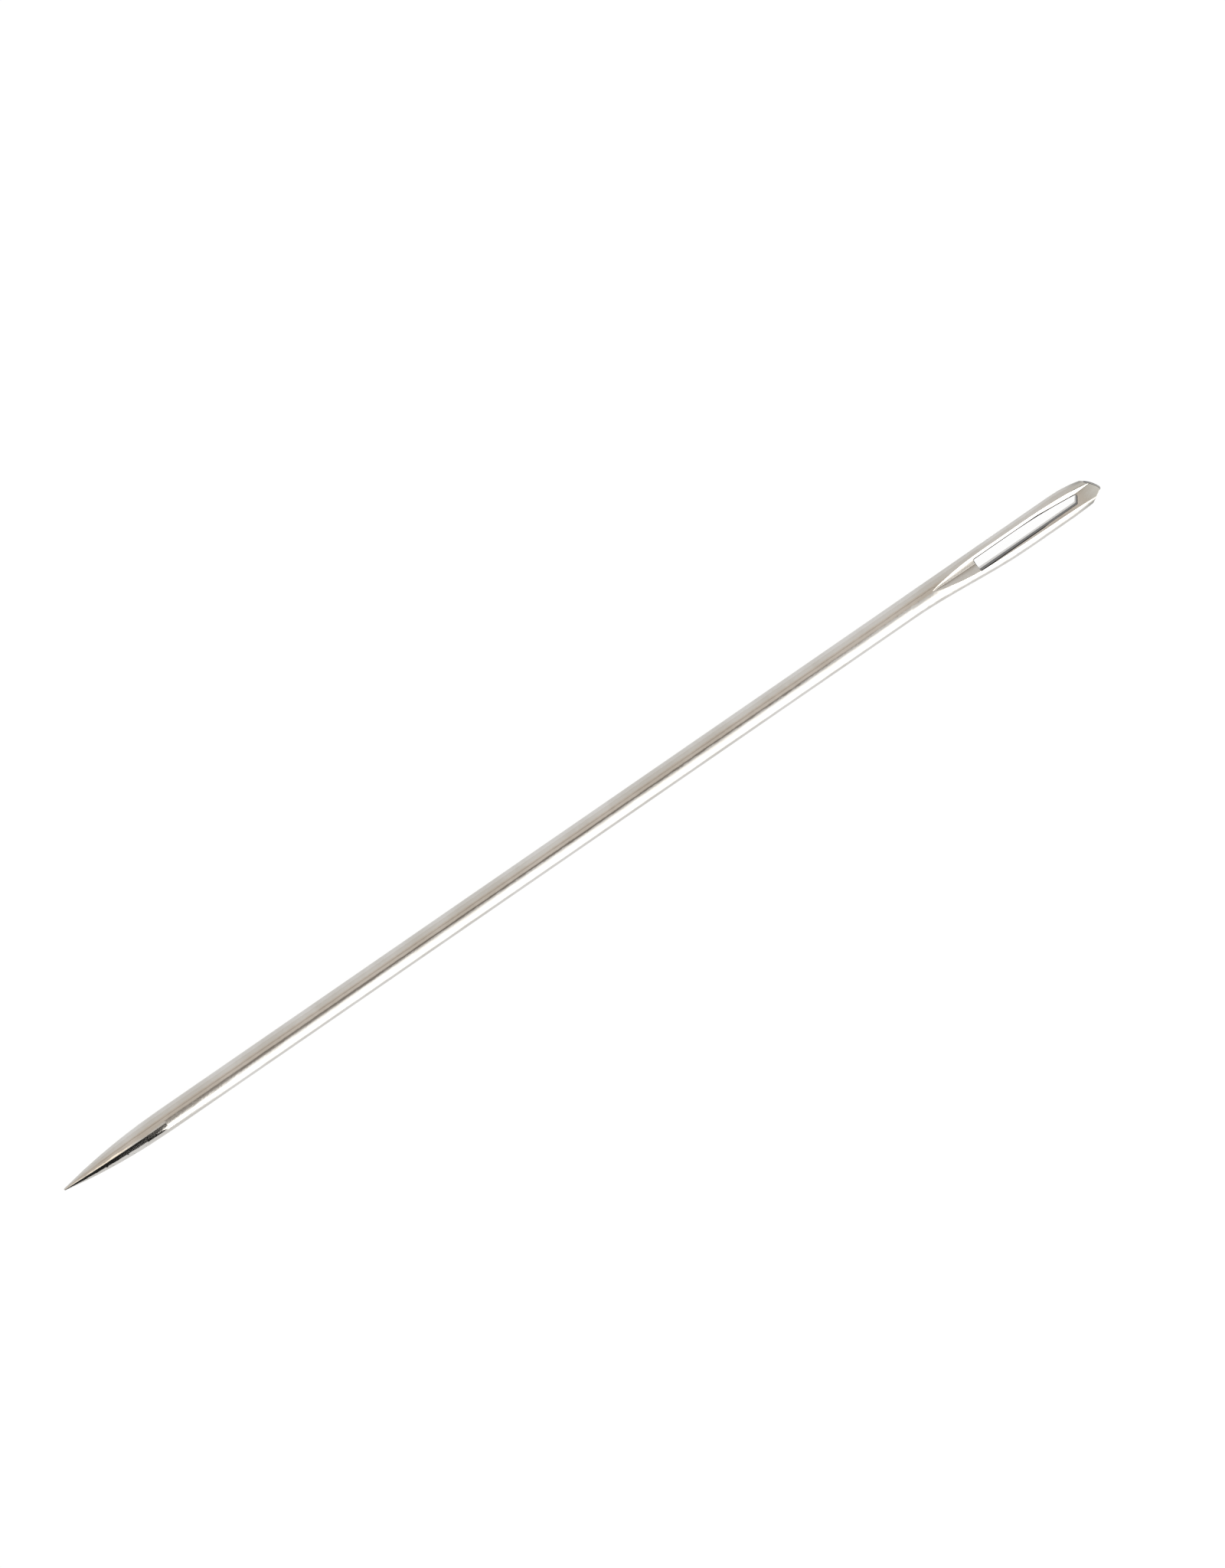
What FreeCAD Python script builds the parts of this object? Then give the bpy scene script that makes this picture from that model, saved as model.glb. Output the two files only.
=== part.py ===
import FreeCAD, Part
import math
import os

# A hand sewing needle, one piece of polished steel wire.
# X runs from the point to the head, Y across the eye, and Z up from the table the needle lies on.
# Lengths are in millimetres and angles in degrees.

# The wire
needle_length = 61.2
wire_diameter = 1.2

# The point, a long tangent ogive with a slightly blunt tip
point_length = 6.0
tip_radius = 0.06

# The swell, where the wire is pressed flatter and wider for the eye
swell_length = 6.4
swell_before_gutter = 1.25
eye_extra_width = 0.387
eye_thinning = 0.1
eye_offset = -0.18

# The head, which narrows and thins towards its end, more on the +Y side than on the -Y side
taper_to_head = 2.3
head_narrowing = 0.43
head_low_narrowing = 0.12
head_thinning = 0.3

# The gutter, a sharp groove pressed into both faces that leads the thread into the eye
gutter_before_eye = 2.6
gutter_opening = 3.1
gutter_closing = 4.2
gutter_depth = 0.413
gutter_head_depth = 0.1
gutter_start_offset = 0.135
gutter_offset = -0.02
gutter_head_offset = 0.1
gutter_slope = 30.0
gutter_low_slope = 47.0
gutter_low_slope_at_eye = 34.0
gutter_low_slope_at_head = -2.0

# The eye, pierced through the gutter's thin floor
eye_length = 6.0
eye_to_head = 1.15
eye_opening = 0.624
eye_side_offset = -0.098
eye_corner = 0.07
eye_end_slant = 0.26
eye_taper = 3.4
eye_taper_bow = 0.05
eye_tip_offset = -0.02

# The head's end, ground off at a slant to a corner on the -Y side
corner_offset = -0.43
long_grind_back = 1.0
long_grind_clearance = 0.06
long_grind_bow = 0.15
short_grind_angle = 32.0
corner_flat = 0.07
ground_barrel = 0.3

# Sections of the curved surfaces, and how far cutting tools overrun the metal
swell_sections = 8
head_sections = 5
gutter_sections = 12
ground_sections = 6
overrun = 0.4

wire_radius = wire_diameter / 2
taper_start = needle_length - taper_to_head
eye_end = needle_length - eye_to_head
eye_start = eye_end - eye_length
gutter_start = eye_start - gutter_before_eye
gutter_deepest = needle_length - gutter_closing
swell_start = gutter_start - swell_before_gutter
swell_end = swell_start + swell_length
eye_half_width = (wire_diameter + eye_extra_width) / 2
eye_half_thickness = (wire_diameter - eye_thinning) / 2


def ease(share):
    """Return a smooth step from 0 to 1 with level ends."""
    share = min(max(share, 0.0), 1.0)
    return share * share * (3 - 2 * share)


def swell_at(x):
    """Return how far the swell has grown at x, from 0 on the wire to 1 at the full eye."""
    return ease((x - swell_start) / swell_length)


def taper_at(x):
    """Return how far the head has tapered at x, from 0 beside the eye to 1 at the head's end."""
    return max(x - taper_start, 0.0) ** 2 / taper_to_head ** 2


def offset_at(x):
    """Return the Y of the oval's centre along the swell and the head."""
    return eye_offset * swell_at(x) - (head_narrowing - head_low_narrowing) / 2 * taper_at(x)


def half_width_at(x):
    """Return the needle's half width along the swell and the head."""
    grown = wire_radius + (eye_half_width - wire_radius) * swell_at(x)
    return grown - (head_narrowing + head_low_narrowing) / 2 * taper_at(x)


def half_thickness_at(x):
    """Return the needle's half thickness along the swell and the head."""
    pressed = wire_radius + (eye_half_thickness - wire_radius) * swell_at(x)
    return pressed - head_thinning / 2 * taper_at(x)


def section_at(x):
    """Return the closed oval outline of the swell or the head at x."""
    half_width = half_width_at(x)
    half_thickness = half_thickness_at(x)
    centre = FreeCAD.Vector(x, offset_at(x), 0)
    if half_width - half_thickness < 1e-6:
        outline = Part.Circle(centre, FreeCAD.Vector(1, 0, 0), half_width)
        outline.XAxis = FreeCAD.Vector(0, 1, 0)
        return Part.Wire(outline.toShape())
    side = centre + FreeCAD.Vector(0, half_width, 0)
    top = centre + FreeCAD.Vector(0, 0, half_thickness)
    return Part.Wire(Part.Ellipse(side, top, centre).toShape())


def point_and_shaft():
    """Return the straight wire with its ogive point, turned about the X axis."""
    # The ogive's arc is tangent to the shaft and to the round tip, whose centre is on the axis.
    bow_radius = (point_length ** 2 - 2 * point_length * tip_radius + wire_radius ** 2) / (
        2 * (wire_radius - tip_radius)
    )
    bow_centre = FreeCAD.Vector(point_length, 0, wire_radius - bow_radius)
    tip_centre = FreeCAD.Vector(tip_radius, 0, 0)
    to_tip = (tip_centre - bow_centre).normalize()
    joint = bow_centre + to_tip * bow_radius
    half_turn = math.acos(to_tip.z) / 2
    bow_middle = bow_centre + FreeCAD.Vector(-math.sin(half_turn), 0, math.cos(half_turn)) * bow_radius
    nose_turn = (math.pi / 2 + 2 * half_turn) / 2
    nose_middle = tip_centre + FreeCAD.Vector(-math.sin(nose_turn), 0, math.cos(nose_turn)) * tip_radius
    tip = FreeCAD.Vector(0, 0, 0)
    shoulder = FreeCAD.Vector(point_length, 0, wire_radius)
    shaft_end = FreeCAD.Vector(swell_start, 0, wire_radius)
    axis_end = FreeCAD.Vector(swell_start, 0, 0)
    profile = Part.Wire([
        Part.Arc(tip, nose_middle, joint).toShape(),
        Part.Arc(joint, bow_middle, shoulder).toShape(),
        Part.LineSegment(shoulder, shaft_end).toShape(),
        Part.LineSegment(shaft_end, axis_end).toShape(),
        Part.LineSegment(axis_end, tip).toShape(),
    ])
    return Part.Face(profile).revolve(tip, FreeCAD.Vector(1, 0, 0), 360)


def swell_and_head():
    """Return the flattened, widened end of the wire, before its gutters and eye are cut."""
    stations = [swell_start + swell_length * i / swell_sections for i in range(swell_sections + 1)]
    stations.append((swell_end + taper_start) / 2)
    head_end = needle_length + overrun / 4
    head_span = head_end - taper_start
    stations += [taper_start + head_span * i / head_sections for i in range(head_sections + 1)]
    return Part.makeLoft([section_at(x) for x in stations], True, False)


def blend(start, end, share):
    """Return the value that lies a share of the way from start to end."""
    return start + (end - start) * share


def gutter_section(x, face):
    """Return the outline that the gutter's cutter has at x, on the top (face 1) or below (face -1)."""
    # The gutter opens quickly at its start and runs out slowly towards the head.
    opened = 1 - max(1 - (x - gutter_start) / gutter_opening, 0.0) ** 2
    closed = (max(x - gutter_deepest, 0.0) / gutter_closing) ** 2
    settled = min((x - gutter_start) / (gutter_deepest - gutter_start), 1.0)
    depth = blend(gutter_depth * opened, gutter_head_depth, closed)
    valley = blend(blend(gutter_start_offset, gutter_offset, opened), gutter_head_offset, closed)
    low_slope = blend(blend(gutter_low_slope, gutter_low_slope_at_eye, settled), gutter_low_slope_at_head, closed)
    floor = half_thickness_at(x) - depth
    reach = eye_half_width + overrun
    above = floor + reach * math.tan(math.radians(gutter_low_slope)) + overrun
    high_rise = reach * math.tan(math.radians(gutter_slope))
    low_rise = reach * math.tan(math.radians(low_slope))
    return Part.makePolygon([
        FreeCAD.Vector(x, valley, face * floor),
        FreeCAD.Vector(x, valley + reach, face * (floor + high_rise)),
        FreeCAD.Vector(x, valley + reach, face * above),
        FreeCAD.Vector(x, valley - reach, face * above),
        FreeCAD.Vector(x, valley - reach, face * (floor + low_rise)),
        FreeCAD.Vector(x, valley, face * floor),
    ])


def gutter(face):
    """Return the cutter of the gutter on one face, where face is 1 for the top and -1 for below."""
    span = needle_length + overrun - gutter_start
    places = [gutter_start + span * i / gutter_sections for i in range(gutter_sections + 1)]
    return Part.makeLoft([gutter_section(x, face) for x in places], True, False)


def eye():
    """Return the cutter of the eye: square at its start and drawn to a slanted tip at the head."""
    left = eye_side_offset + eye_opening / 2
    right = eye_side_offset - eye_opening / 2
    below = -wire_radius - overrun
    start_left = FreeCAD.Vector(eye_start, left, below)
    start_right = FreeCAD.Vector(eye_start, right, below)
    bend_left = FreeCAD.Vector(eye_end - eye_taper, left, below)
    bend_right = FreeCAD.Vector(eye_end - eye_end_slant, right, below)
    tip = FreeCAD.Vector(eye_end, eye_tip_offset, below)
    bow = (bend_left + tip) * 0.5 + FreeCAD.Vector(0, eye_taper_bow, 0)
    outline = Part.Wire([
        Part.LineSegment(start_right, start_left).toShape(),
        Part.LineSegment(start_left, bend_left).toShape(),
        Part.Arc(bend_left, bow, tip).toShape(),
        Part.LineSegment(tip, bend_right).toShape(),
        Part.LineSegment(bend_right, start_right).toShape(),
    ])
    prism = Part.Face(outline).extrude(FreeCAD.Vector(0, 0, -2 * below))
    corners = (start_left, start_right, bend_right, tip)
    edges = [edge for edge in prism.Edges if stands_at(edge, corners)]
    return prism.makeFillet(eye_corner, edges)


def stands_at(edge, corners):
    """Return whether an edge stands upright over one of the corners."""
    ends = [vertex.Point for vertex in edge.Vertexes]
    if len(ends) != 2 or abs(ends[0].z - ends[1].z) < overrun:
        return False
    return any(math.hypot(ends[0].x - c.x, ends[0].y - c.y) < 1e-6 for c in corners)


def ground_outline(z):
    """Return the outline, at height z, of what grinding takes off the head's end."""
    # The ground faces are a little barrelled: they fall back towards the head's top and bottom.
    back = ground_barrel * (z / wire_radius) ** 2
    side = eye_half_width + overrun
    shoulder_x = needle_length - long_grind_back
    shoulder_y = offset_at(shoulder_x) + half_width_at(shoulder_x) + long_grind_clearance
    short_run = (corner_offset + side) / math.tan(math.radians(short_grind_angle))
    far = needle_length + overrun
    shoulder = FreeCAD.Vector(shoulder_x - back, shoulder_y, z)
    corner_high = FreeCAD.Vector(needle_length - back, corner_offset + corner_flat / 2, z)
    corner_low = FreeCAD.Vector(needle_length - back, corner_offset - corner_flat / 2, z)
    short_end = FreeCAD.Vector(needle_length - short_run - back, -side, z)
    far_low = FreeCAD.Vector(far, -side, z)
    far_high = FreeCAD.Vector(far, side, z)
    shoulder_out = FreeCAD.Vector(shoulder.x, side, z)
    chord = corner_high - shoulder
    outward = FreeCAD.Vector(-chord.y, chord.x, 0).normalize()
    bow = (shoulder + corner_high) * 0.5 + outward * long_grind_bow
    corners = [corner_high, corner_low, short_end, far_low, far_high, shoulder_out, shoulder]
    lines = [Part.LineSegment(a, b).toShape() for a, b in zip(corners, corners[1:])]
    return Part.Wire([Part.Arc(shoulder, bow, corner_high).toShape()] + lines)


def ground_off():
    """Return what grinding takes off the head: a long bowed slant and a short straight one."""
    height = wire_radius + overrun
    levels = [height * (2 * i / ground_sections - 1) for i in range(ground_sections + 1)]
    return Part.makeLoft([ground_outline(z) for z in levels], True, False)


def resting_roll():
    """Return the roll about the shaft at which the swell meets the table, just before the gutter starts."""
    # Half width, half thickness and offset of an oval give its lowest point at a roll.
    # That point is one wire radius below the shaft's axis, which is a quadratic in the roll's sine.
    half_width = half_width_at(gutter_start)
    half_thickness = half_thickness_at(gutter_start)
    offset = offset_at(gutter_start)
    square = half_width ** 2 - half_thickness ** 2 - offset ** 2
    linear = wire_radius * -offset
    constant = wire_radius ** 2 - half_thickness ** 2
    sine = (math.sqrt(linear ** 2 + square * constant) - linear) / square
    return math.degrees(math.asin(sine))


def needle():
    """Return the whole needle, lying on the table as it comes to rest."""
    blank = point_and_shaft().fuse(swell_and_head())
    solid = blank.cut([gutter(1), gutter(-1), eye(), ground_off()]).Solids[0]
    solid.rotate(FreeCAD.Vector(0, 0, 0), FreeCAD.Vector(1, 0, 0), resting_roll())
    solid.translate(FreeCAD.Vector(-needle_length / 2, 0, wire_radius))
    return solid


os.makedirs("parts", exist_ok=True)
needle().exportStep("parts/needle.step")
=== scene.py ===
"""A long-eyed hand sewing needle of polished plated steel, lying on a white table under soft studio light."""

import logging
import math
from dataclasses import dataclass, field
from enum import Enum

import bmesh
import bpy
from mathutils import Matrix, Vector

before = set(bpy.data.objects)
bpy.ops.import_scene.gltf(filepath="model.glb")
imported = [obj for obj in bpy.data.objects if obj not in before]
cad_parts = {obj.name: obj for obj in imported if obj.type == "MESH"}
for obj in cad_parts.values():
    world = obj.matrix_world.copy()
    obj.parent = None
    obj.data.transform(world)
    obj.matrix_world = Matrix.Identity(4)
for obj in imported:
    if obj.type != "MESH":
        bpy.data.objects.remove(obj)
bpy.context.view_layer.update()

LOG = logging.getLogger("needle")
MM = 0.001

# A range node with this setting starts and ends smoothly.
SMOOTH = {"interpolation_type": "SMOOTHSTEP"}


class MixColour(Enum):
    """The sockets of a Mix node set to colours, where the names A and B stand for several sockets."""

    FACTOR = 0
    A = 6
    B = 7
    RESULT = 2


def linear(hex_colour: str) -> tuple[float, float, float, float]:
    """Turn an sRGB hex colour into a linear colour with full alpha.

    Args:
        hex_colour: Six hex digits after a hash, such as "#c9c6c1".

    Returns:
        The linear red, green and blue, and an alpha of 1.
    """
    # The numbers are those of the sRGB standard's transfer curve.
    channels = [int(hex_colour[i:i + 2], 16) / 255 for i in (1, 3, 5)]
    red, green, blue = (c / 12.92 if c <= 0.04045 else ((c + 0.055) / 1.055) ** 2.4 for c in channels)
    return red, green, blue, 1.0


def add_node(
    tree: bpy.types.NodeTree,
    kind: str,
    settings: dict[str, object] | None = None,
    values: dict[str | int, object] | None = None,
    links: dict[str | int, bpy.types.NodeSocket] | None = None,
) -> bpy.types.Node:
    """Add a node to a tree, with its settings, socket values and incoming links.

    Args:
        tree: The node tree that gets the node.
        kind: The node's type name in Blender.
        settings: Properties to set on the node itself.
        values: Constants to set on input sockets, by name or number.
        links: Output sockets to link to input sockets, by name or number.

    Returns:
        The new node.
    """
    node = tree.nodes.new(kind)
    for name, value in (settings or {}).items():
        setattr(node, name, value)
    for key, value in (values or {}).items():
        node.inputs[key].default_value = value
    for key, socket in (links or {}).items():
        tree.links.new(socket, node.inputs[key])
    return node


def limits(ends: tuple[float, float], results: tuple[float, float] = (0.0, 1.0)) -> dict[str, float]:
    """Name the socket values of a range.

    Args:
        ends: The values between which the range runs.
        results: What the range gives at these ends.

    Returns:
        The values by the names of their sockets.
    """
    return {"From Min": ends[0], "From Max": ends[1], "To Min": results[0], "To Max": results[1]}


def new_material(name: str) -> bpy.types.Material:
    """Make a material without nodes.

    Args:
        name: The material's name.

    Returns:
        The material, whose node tree is empty.
    """
    material = bpy.data.materials.new(name)
    material.use_nodes = True
    material.node_tree.nodes.clear()
    return material


@dataclass(frozen=True)
class PlatedSteel:
    """Carbon steel wire with a bright nickel plate, drawn and then polished along its length.

    The plate gives a slightly warm mirror with hair-fine lines along the wire. The pressed gutters keep some
    of the die's roughness. The plate is thin on the ground head, whose faces turned sideways are painted
    darker as shade. The walls and rim of the punched slot are rougher, and painted dark as shade.
    """

    colour: str = "#cac8c5"
    worn_colour: str = "#c0bdb8"
    # The dark colour of the slot's walls and rim is painted shade.
    thin_colour: str = "#2b2826"
    ground_colour: str = "#bebcb6"
    # The darker colour of the head's ground faces that turn sideways is painted shade.
    ground_side_shade_colour: str = "#94928d"
    roughness: float = 0.1
    least_roughness_share: float = 0.8
    most_roughness_share: float = 1.3
    pressed_roughness: float = 0.28
    thin_roughness: float = 0.35
    ground_roughness: float = 0.24

    # Polishing leaves lines a few micrometres apart, too fine for the render, so they are drawn at 0.07 mm.
    line_spacing_mm: float = 0.07
    line_length_mm: float = 5.0
    line_depth_mm: float = 0.0009
    wave_spacing_mm: float = 0.5
    wave_length_mm: float = 1.4
    wave_depth_mm: float = 0.008
    # The marks of a fine grinding wheel run across the head. They too are drawn coarser than real ones.
    grinding_spacing_mm: float = 0.05
    grinding_length_mm: float = 0.8
    grinding_depth_mm: float = 0.0012
    cloud_size_mm: float = 2.5
    noise_detail: float = 4.0
    noise_roughness: float = 0.65
    line_contrast: tuple[float, float] = (0.3, 0.7)
    cloud_contrast: tuple[float, float] = (0.35, 0.65)

    # Shares between which an edge counts as sharp, a wall as steep and a face as turned sideways
    edge_radius_mm: float = 0.045
    edge_samples: int = 6
    sharp_edge: tuple[float, float] = (0.999, 0.97)
    steep_wall: tuple[float, float] = (0.3, 0.15)
    ground_side: tuple[float, float] = (0.85, 0.6)
    # The painted shade on the slot's walls fades in upwards along the eye's axis, from the first of these
    # heights over the second.
    wall_depth_mm: float = -0.12
    wall_shine_mm: float = 0.1

    # The places of the gutter, the slot and the head along X, and across the eye, which leans with its roll
    axis_height_mm: float = 0.6
    eye_axis: tuple[float, float, float] = (0.0, -0.2144, 0.9767)
    eye_side: tuple[float, float, float] = (0.0, 0.9767, 0.2144)
    gutter_start_mm: float = 20.9
    gutter_run_in_mm: float = 0.8
    gutter_half_width_mm: float = 0.42
    gutter_edge_mm: float = 0.1
    slot_start_mm: float = 23.44
    slot_middle_mm: float = -0.1
    slot_half_width_mm: float = 0.36
    slot_edge_mm: float = 0.312
    slot_tip_edge_mm: float = 0.078
    slot_taper_mm: tuple[float, float] = (27.2, 29.6)
    # The slot's rim gets a dark line of painted shade this wide, which ends near the slot's tip.
    rim_width_mm: float = 0.055
    rim_end_mm: float = 29.32
    head_start_mm: float = 28.9
    head_run_in_mm: float = 1.1

    def build(self) -> bpy.types.Material:
        """Build the plated steel from its regions, its wear and its relief.

        Returns:
            The finish as a node material.
        """
        material = new_material("plated_steel")
        tree = material.node_tree
        place = add_node(tree, "ShaderNodeTexCoord").outputs["Object"]
        rounded = add_node(
            tree, "ShaderNodeBevel", {"samples": self.edge_samples}, {"Radius": self.edge_radius_mm * MM}
        ).outputs["Normal"]
        regions = self.regions(tree, place, rounded)
        marks = self.marks(tree, place)
        shader = add_node(
            tree, "ShaderNodeBsdfPrincipled", values={"Metallic": 1.0},
            links={
                "Base Color": self.tint(tree, regions, marks),
                "Roughness": self.sheen(tree, regions, marks),
                "Normal": self.relief(tree, regions, marks, rounded),
            },
        )
        add_node(tree, "ShaderNodeOutputMaterial", links={"Surface": shader.outputs["BSDF"]})
        return material

    def measures(
        self, tree: bpy.types.NodeTree, place: bpy.types.NodeSocket, rounded: bpy.types.NodeSocket
    ) -> dict[str, bpy.types.NodeSocket]:
        """Measure where a spot lies on the needle and how its surface leans.

        Args:
            tree: The material's node tree.
            place: The spot's place.
            rounded: The normal, with the edges rounded.

        Returns:
            The lengths along, aside, height and off_edge, and the shares likeness, steepness and upwards.
        """
        flat = add_node(tree, "ShaderNodeNewGeometry").outputs["Normal"]
        along = add_node(tree, "ShaderNodeSeparateXYZ", links={"Vector": place}).outputs["X"]
        slot_middle = (0.0, self.slot_middle_mm * MM, self.axis_height_mm * MM)
        from_middle = add_node(
            tree, "ShaderNodeVectorMath", {"operation": "SUBTRACT"}, {1: slot_middle}, {0: place}
        ).outputs["Vector"]
        edge = add_node(
            tree, "ShaderNodeMapRange",
            values=limits(
                (self.slot_taper_mm[0] * MM, self.slot_taper_mm[1] * MM),
                (self.slot_edge_mm * MM, self.slot_tip_edge_mm * MM),
            ),
            links={"Value": along},
        ).outputs["Result"]
        sizes = {}
        for name, vector, direction in (
            ("aside", from_middle, self.eye_side),
            ("height", from_middle, self.eye_axis),
            ("steepness", flat, self.eye_axis),
        ):
            sizes[name] = add_node(
                tree, "ShaderNodeVectorMath", {"operation": "DOT_PRODUCT"}, {1: direction}, {0: vector}
            ).outputs["Value"]
        for name in ("aside", "steepness"):
            sizes[name] = add_node(
                tree, "ShaderNodeMath", {"operation": "ABSOLUTE"}, links={0: sizes[name]}
            ).outputs["Value"]
        beside = add_node(
            tree, "ShaderNodeMath", {"operation": "SUBTRACT"}, links={0: sizes["aside"], 1: edge}
        ).outputs["Value"]
        sizes["off_edge"] = add_node(
            tree, "ShaderNodeMath", {"operation": "ABSOLUTE"}, links={0: beside}
        ).outputs["Value"]
        sizes["along"] = along
        sizes["likeness"] = add_node(
            tree, "ShaderNodeVectorMath", {"operation": "DOT_PRODUCT"}, links={0: flat, 1: rounded}
        ).outputs["Value"]
        sizes["upwards"] = add_node(tree, "ShaderNodeSeparateXYZ", links={"Vector": flat}).outputs["Z"]
        return sizes

    def regions(
        self, tree: bpy.types.NodeTree, place: bpy.types.NodeSocket, rounded: bpy.types.NodeSocket
    ) -> dict[str, bpy.types.NodeSocket]:
        """Mark the needle's regions.

        Args:
            tree: The material's node tree.
            place: The spot's place.
            rounded: The normal, with the edges rounded.

        Returns:
            Masks by name, each 1 inside its region and 0 outside. The finish uses pressed and head, and the
            masks of the painted shade on the head's sideways faces and on the slot's walls and rim; the
            others are steps on the way.
        """
        sizes = self.measures(tree, place, rounded)
        # Each step is 0 where its measure is at the first value, and 1 where it is at the second.
        lengths = {
            "head": ("along", self.head_start_mm, self.head_start_mm + self.head_run_in_mm),
            "in_gutter": ("along", self.gutter_start_mm, self.gutter_start_mm + self.gutter_run_in_mm),
            "near_gutter": (
                "aside", self.gutter_half_width_mm + self.gutter_edge_mm, self.gutter_half_width_mm
            ),
            "past_start": ("along", self.slot_start_mm, self.slot_start_mm + self.edge_radius_mm),
            "near_slot": ("aside", self.slot_half_width_mm + self.edge_radius_mm, self.slot_half_width_mm),
            "upper": ("height", self.wall_depth_mm, self.wall_depth_mm + self.wall_shine_mm),
            "at_edge": ("off_edge", self.rim_width_mm, self.rim_width_mm / 2),
            "before_tip": ("along", self.rim_end_mm, self.rim_end_mm - self.rim_width_mm),
        }
        shares = {
            "sharp": ("likeness", *self.sharp_edge),
            "steep": ("steepness", *self.steep_wall),
            "sideways": ("upwards", *self.ground_side),
        }
        masks = {}
        for steps, unit in ((lengths, MM), (shares, 1.0)):
            for name, (size, none_at, full_at) in steps.items():
                masks[name] = add_node(
                    tree, "ShaderNodeMapRange", SMOOTH, limits((none_at * unit, full_at * unit)),
                    {"Value": sizes[size]},
                ).outputs["Result"]
        for name, operation, first, second in (
            ("pressed", "MULTIPLY", "in_gutter", "near_gutter"),
            # Painted shade on the head's faces that turn sideways.
            ("ground_side_shade", "MULTIPLY", "sideways", "head"),
            ("rim", "MULTIPLY", "at_edge", "before_tip"),
            # Sharp edges, steep walls and the rim in the upper part of the slot get the dark painted shade.
            ("edge_or_wall", "MAXIMUM", "sharp", "steep"),
            ("edge_wall_or_rim", "MAXIMUM", "edge_or_wall", "rim"),
            ("upper_part", "MULTIPLY", "edge_wall_or_rim", "upper"),
            ("in_slot", "MULTIPLY", "past_start", "near_slot"),
            ("thin", "MULTIPLY", "upper_part", "in_slot"),
        ):
            masks[name] = add_node(
                tree, "ShaderNodeMath", {"operation": operation}, links={0: masks[first], 1: masks[second]}
            ).outputs["Value"]
        return masks

    def marks(self, tree: bpy.types.NodeTree, place: bpy.types.NodeSocket) -> dict[str, bpy.types.NodeSocket]:
        """Draw the marks of making as noise that is stretched along or across the wire.

        Args:
            tree: The material's node tree.
            place: The spot's place.

        Returns:
            The noise of the lines, waves, grinding and clouds, by name.
        """
        marks = {}
        for name, along_mm, across_mm in (
            ("lines", self.line_length_mm, self.line_spacing_mm),
            ("waves", self.wave_length_mm, self.wave_spacing_mm),
            ("grinding", self.grinding_spacing_mm, self.grinding_length_mm),
            ("clouds", self.cloud_size_mm, self.cloud_size_mm),
        ):
            scale = (1 / (along_mm * MM), 1 / (across_mm * MM), 1 / (across_mm * MM))
            placed = add_node(tree, "ShaderNodeMapping", values={"Scale": scale}, links={"Vector": place})
            marks[name] = add_node(
                tree, "ShaderNodeTexNoise",
                values={"Scale": 1.0, "Detail": self.noise_detail, "Roughness": self.noise_roughness},
                links={"Vector": placed.outputs["Vector"]},
            ).outputs["Fac"]
        return marks

    def sheen(
        self,
        tree: bpy.types.NodeTree,
        regions: dict[str, bpy.types.NodeSocket],
        marks: dict[str, bpy.types.NodeSocket],
    ) -> bpy.types.NodeSocket:
        """Work out the roughness, which the lines vary and the pressed, ground and slot-wall regions raise.

        Args:
            tree: The material's node tree.
            regions: The masks of the regions.
            marks: The noise of the marks.

        Returns:
            The roughness.
        """
        polished = (self.roughness * self.least_roughness_share, self.roughness * self.most_roughness_share)
        roughness = add_node(
            tree, "ShaderNodeMapRange", SMOOTH, limits(self.line_contrast, polished),
            {"Value": marks["lines"]},
        ).outputs["Result"]
        for name, rougher in (
            ("pressed", self.pressed_roughness),
            ("head", self.ground_roughness),
            ("thin", self.thin_roughness),
        ):
            roughness = add_node(
                tree, "ShaderNodeMapRange", values={"To Max": rougher},
                links={"Value": regions[name], "To Min": roughness},
            ).outputs["Result"]
        return roughness

    def tint(
        self,
        tree: bpy.types.NodeTree,
        regions: dict[str, bpy.types.NodeSocket],
        marks: dict[str, bpy.types.NodeSocket],
    ) -> bpy.types.NodeSocket:
        """Work out the colour: cloudy bright plate, duller ground steel, and painted shade, darker on the
        head's sideways faces and dark on the slot's walls and rim.

        Args:
            tree: The material's node tree.
            regions: The masks of the regions.
            marks: The noise of the marks.

        Returns:
            The colour.
        """
        wear = add_node(
            tree, "ShaderNodeMapRange", SMOOTH, limits(self.cloud_contrast), {"Value": marks["clouds"]}
        ).outputs["Result"]
        plate = linear(self.colour)
        below = {}
        for other, mask in (
            (self.worn_colour, wear),
            (self.ground_colour, regions["head"]),
            # The head's ground faces that turn sideways get a darker painted shade.
            (self.ground_side_shade_colour, regions["ground_side_shade"]),
            # The slot's walls and rim get the dark painted shade.
            (self.thin_colour, regions["thin"]),
        ):
            colour = add_node(
                tree, "ShaderNodeMix", {"data_type": "RGBA"},
                {MixColour.A.value: plate, MixColour.B.value: linear(other)},
                {MixColour.FACTOR.value: mask} | below,
            ).outputs[MixColour.RESULT.value]
            below = {MixColour.A.value: colour}
        return colour

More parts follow.
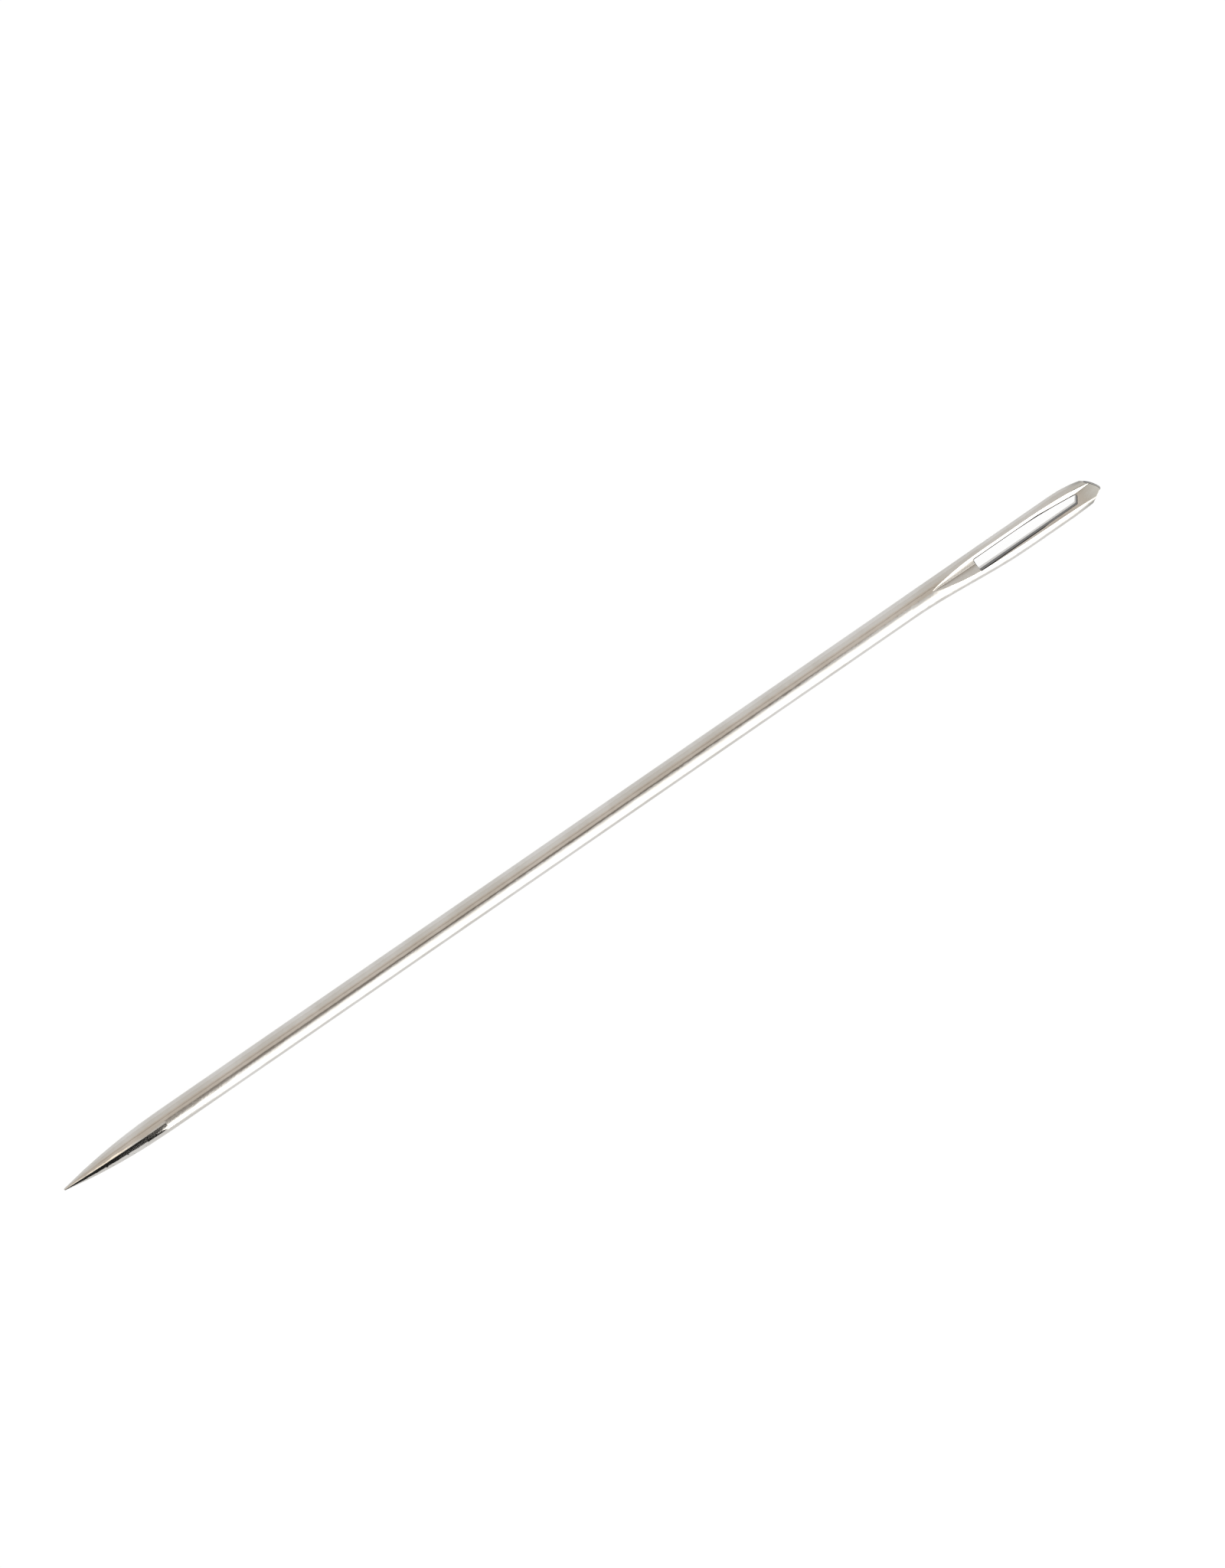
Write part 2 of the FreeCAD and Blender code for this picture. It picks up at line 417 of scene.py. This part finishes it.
    def relief(
        self,
        tree: bpy.types.NodeTree,
        regions: dict[str, bpy.types.NodeSocket],
        marks: dict[str, bpy.types.NodeSocket],
        rounded: bpy.types.NodeSocket,
    ) -> bpy.types.NodeSocket:
        """Raise the waves and lines over the whole wire, and the grinding marks on the head.

        Args:
            tree: The material's node tree.
            regions: The masks of the regions.
            marks: The noise of the marks.
            rounded: The normal, with the edges rounded.

        Returns:
            The normal with its relief.
        """
        normal = rounded
        for name, depth_mm, within in (
            ("waves", self.wave_depth_mm, {}),
            ("lines", self.line_depth_mm, {}),
            ("grinding", self.grinding_depth_mm, {"Strength": regions["head"]}),
        ):
            normal = add_node(
                tree, "ShaderNodeBump", values={"Distance": depth_mm * MM},
                links={"Height": marks[name], "Normal": normal} | within,
            ).outputs["Normal"]
        return normal


@dataclass
class NeedlePiece:
    """The needle itself: the CAD node, dressed in plated steel."""

    finish: PlatedSteel = field(default_factory=PlatedSteel)

    def build(self) -> None:
        """Dress the CAD node."""
        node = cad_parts["needle"]
        node.material_slots[0].material = self.finish.build()
        LOG.info("dressed %s, %d faces", node.name, len(node.data.polygons))


@dataclass
class Table:
    """The white light table that the needle lies on, a sheet of matt opal acrylic lit from below.

    It glows more on the softbox's side, a painted pool of the softbox's light, so that the needle's underside
    mirrors a bright table there and only a narrow grey line of the evenly glowing table right beside it, in
    place of a contact shadow.
    """

    half_width_mm: float = 900.0
    colour: str = "#505050"
    roughness: float = 0.8
    gloss: float = 0.1
    glow_colour: str = "#ffffff"
    glow: float = 0.95
    # A painted pool of the softbox's light on the table, away from the needle on the softbox's side
    painted_light_glow: float = 1.8
    painted_light_from_mm: float = -2.0
    painted_light_to_mm: float = -6.0
    painted_light_ends_mm: tuple[float, float] = (-26.0, -21.0)

    def build(self) -> None:
        """Build the table top."""
        mesh = bpy.data.meshes.new("table")
        shape = bmesh.new()
        bmesh.ops.create_grid(shape, x_segments=1, y_segments=1, size=self.half_width_mm * MM)
        shape.to_mesh(mesh)
        shape.free()
        table = bpy.data.objects.new("table", mesh)
        bpy.context.scene.collection.objects.link(table)
        material = new_material("white_table")
        tree = material.node_tree
        place = add_node(tree, "ShaderNodeTexCoord").outputs["Object"]
        parts = add_node(tree, "ShaderNodeSeparateXYZ", links={"Vector": place})
        glows = (self.glow, self.painted_light_glow)
        # The painted pool of light fades out towards the point along X, and rises from 2 to 6 mm beside the
        # needle along Y.
        painted_pool_strength = add_node(
            tree, "ShaderNodeMapRange", SMOOTH,
            limits((self.painted_light_ends_mm[0] * MM, self.painted_light_ends_mm[1] * MM), glows),
            {"Value": parts.outputs["X"]},
        ).outputs["Result"]
        glow = add_node(
            tree, "ShaderNodeMapRange", SMOOTH,
            limits((self.painted_light_from_mm * MM, self.painted_light_to_mm * MM), glows),
            {"Value": parts.outputs["Y"], "To Max": painted_pool_strength},
        ).outputs["Result"]
        shader = add_node(
            tree, "ShaderNodeBsdfPrincipled",
            values={
                "Base Color": linear(self.colour),
                "Roughness": self.roughness,
                "Specular IOR Level": self.gloss,
                "Emission Color": linear(self.glow_colour),
            },
            links={"Emission Strength": glow},
        )
        add_node(tree, "ShaderNodeOutputMaterial", links={"Surface": shader.outputs["BSDF"]})
        mesh.materials.append(material)


@dataclass(frozen=True)
class Card:
    """A flat card or softbox of the studio, with two edges that run along X.

    Each edge is given by its Y and Z, and by the X of its ends. The strength of the light runs smoothly from
    the foot to the top, between two shares of the way up.
    """

    name: str
    foot_mm: tuple[float, float]
    top_mm: tuple[float, float]
    foot_ends_mm: tuple[float, float]
    top_ends_mm: tuple[float, float]
    foot_strength: float
    top_strength: float
    colour: str = "#ffffff"
    fades_between: tuple[float, float] = (0.25, 0.9)

    def build(self) -> None:
        """Build the card as an emitting stage plane that only reflections and light see."""
        mesh = bpy.data.meshes.new(self.name)
        shape = bmesh.new()
        foot = [Vector((x, *self.foot_mm)) * MM for x in self.foot_ends_mm]
        top = [Vector((x, *self.top_mm)) * MM for x in reversed(self.top_ends_mm)]
        shape.faces.new([shape.verts.new(corner) for corner in foot + top])
        shape.to_mesh(mesh)
        shape.free()
        card = bpy.data.objects.new(self.name, mesh)
        bpy.context.scene.collection.objects.link(card)
        mesh.materials.append(self.light())
        card.visible_camera = False

    def light(self) -> bpy.types.Material:
        """Make the card's light, which changes from its foot to its top.

        Returns:
            The light as a node material.
        """
        foot = Vector((0.0, *self.foot_mm)) * MM
        top = Vector((0.0, *self.top_mm)) * MM
        material = new_material(self.name)
        tree = material.node_tree
        place = add_node(tree, "ShaderNodeTexCoord").outputs["Object"]
        upwards = (top - foot).normalized()
        height = add_node(
            tree, "ShaderNodeVectorMath", {"operation": "DOT_PRODUCT"}, values={1: upwards}, links={0: place}
        ).outputs["Value"]
        fade_start, fade_end = (foot.lerp(top, share).dot(upwards) for share in self.fades_between)
        strength = add_node(
            tree, "ShaderNodeMapRange", SMOOTH,
            limits((fade_start, fade_end), (self.foot_strength, self.top_strength)), {"Value": height},
        ).outputs["Result"]
        shader = add_node(
            tree, "ShaderNodeEmission", values={"Color": linear(self.colour)}, links={"Strength": strength}
        )
        add_node(tree, "ShaderNodeOutputMaterial", links={"Surface": shader.outputs["Emission"]})
        return material


# Each card's name, foot, top, ends of the foot, ends of the top, strengths, colour and fade
CARDS = (
    Card("softbox", (-700, 0), (-150, 700), (-122, 800), (-45, 800), 4.2, 1.0, "#fffdfa", (0.15, 0.85)),
    Card("softbox_frame", (-706, 0), (-153, 704), (-122, 60), (-122, 60), 0.5, 0.6, "#f6ece1"),
    Card("black_card", (-702, 0), (-284, 532), (-800, -124), (-800, -78), 0.02, 0.02),
    Card("top_light", (-95, 420), (-5, 420), (-250, -130), (-250, -130), 1.9, 1.9, "#fff3e2"),
    Card("camera_front", (-72, 345), (10, 345), (-60, 30), (-60, 30), 0.36, 0.36, "#f3e6da"),
    Card("camera_arm", (300, 600), (420, 600), (-900, 900), (-900, 900), 0.72, 0.72, "#f3e7da"),
    Card("warm_ceiling", (-60, 700), (760, 700), (-900, 900), (-900, 900), 0.94, 0.96, "#f6ece1", (0.0, 1.0)),
)


@dataclass
class Studio:
    """The camera over the needle, the even room around it and the view's tone curve."""

    needle_angle_deg: float = 34.57
    centre_mm: tuple[float, float] = (2.73, 1.13)
    camera_height_mm: float = 300.0
    seen_height_mm: float = 76.8
    sensor_height_mm: float = 36.0
    nearest_mm: float = 10.0
    room: float = 0.96
    room_colour: str = "#fdfaf6"

    def build(self) -> None:
        """Add the camera, the room and the cards."""
        scene = bpy.context.scene
        camera = bpy.data.cameras.new("camera")
        camera.sensor_fit = "VERTICAL"
        camera.sensor_height = self.sensor_height_mm
        camera.lens = camera.sensor_height * self.camera_height_mm / self.seen_height_mm
        camera.clip_start = self.nearest_mm * MM
        holder = bpy.data.objects.new("camera", camera)
        holder.location = (self.centre_mm[0] * MM, self.centre_mm[1] * MM, self.camera_height_mm * MM)
        holder.rotation_euler = (0.0, 0.0, -math.radians(self.needle_angle_deg))
        scene.collection.objects.link(holder)
        scene.camera = holder
        world = bpy.data.worlds.new("room")
        world.use_nodes = True
        world.node_tree.nodes.clear()
        background = add_node(
            world.node_tree, "ShaderNodeBackground",
            values={"Color": linear(self.room_colour), "Strength": self.room},
        )
        add_node(
            world.node_tree, "ShaderNodeOutputWorld", links={"Surface": background.outputs["Background"]}
        )
        scene.world = world
        scene.view_settings.view_transform = "Standard"
        for card in CARDS:
            card.build()


def main() -> None:
    """Build the needle and its studio, and log each piece."""
    logging.basicConfig(level=logging.INFO, format="%(name)s %(message)s")
    for piece in (NeedlePiece(), Table(), Studio()):
        piece.build()
        LOG.info("built %s", type(piece).__name__)


if __name__ == "__main__":
    main()
